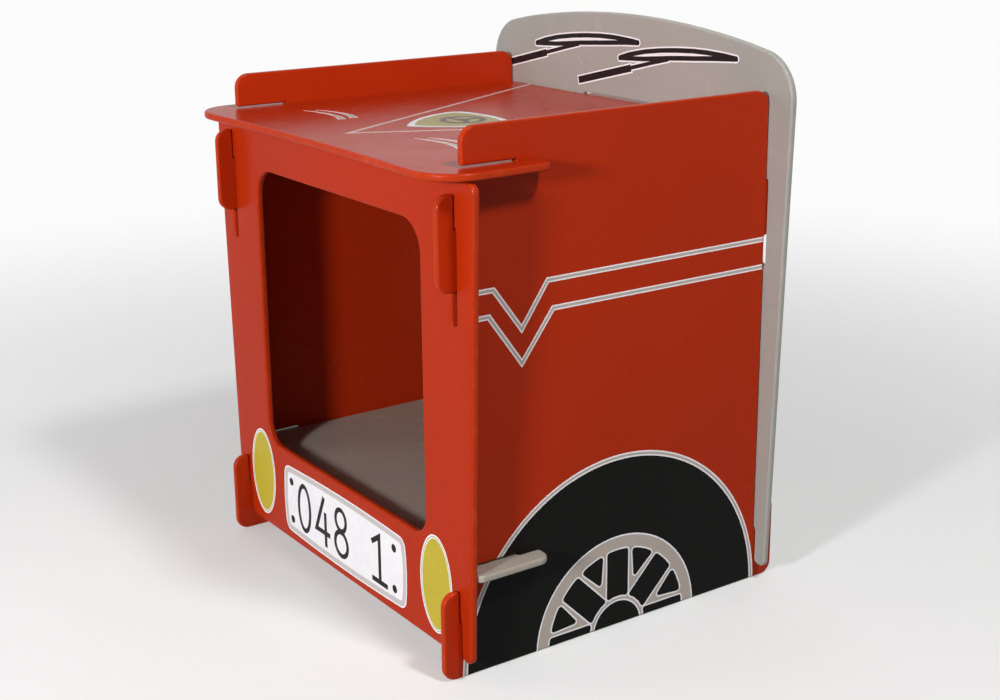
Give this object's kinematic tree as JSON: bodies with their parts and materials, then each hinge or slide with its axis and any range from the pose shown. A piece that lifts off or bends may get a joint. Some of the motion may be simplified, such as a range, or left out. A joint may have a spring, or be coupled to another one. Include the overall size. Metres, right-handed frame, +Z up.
{
  "type": "bedside cabinet",
  "caption": "Children's bedside cabinet in the shape of a small car, slotted together from lacquered boards, with an open front compartment, a railed top and an arched back.",
  "frame": {"origin": "on the floor, below the middle of the cabinet's box", "axes": "+Z up, the open front faces -Y, +X towards the right side panel as seen from the front"},
  "size_m": [0.541, 0.461, 0.621],
  "materials": {
    "red_lacquer": "orange-red semi-gloss lacquer on fibreboard",
    "grey_lacquer": "warm grey semi-gloss lacquer on fibreboard",
    "printed_ink": "printed picture under the clear coat, black, silver grey, white and yellow"
  },
  "bodies": {
    "root": {"side_panel_left": "red_lacquer", "side_panel_right": "red_lacquer", "front_panel": "red_lacquer", "top_panel": "red_lacquer", "back_panel": "grey_lacquer", "lower_shelf": "grey_lacquer"}
  },
  "joints": []
}
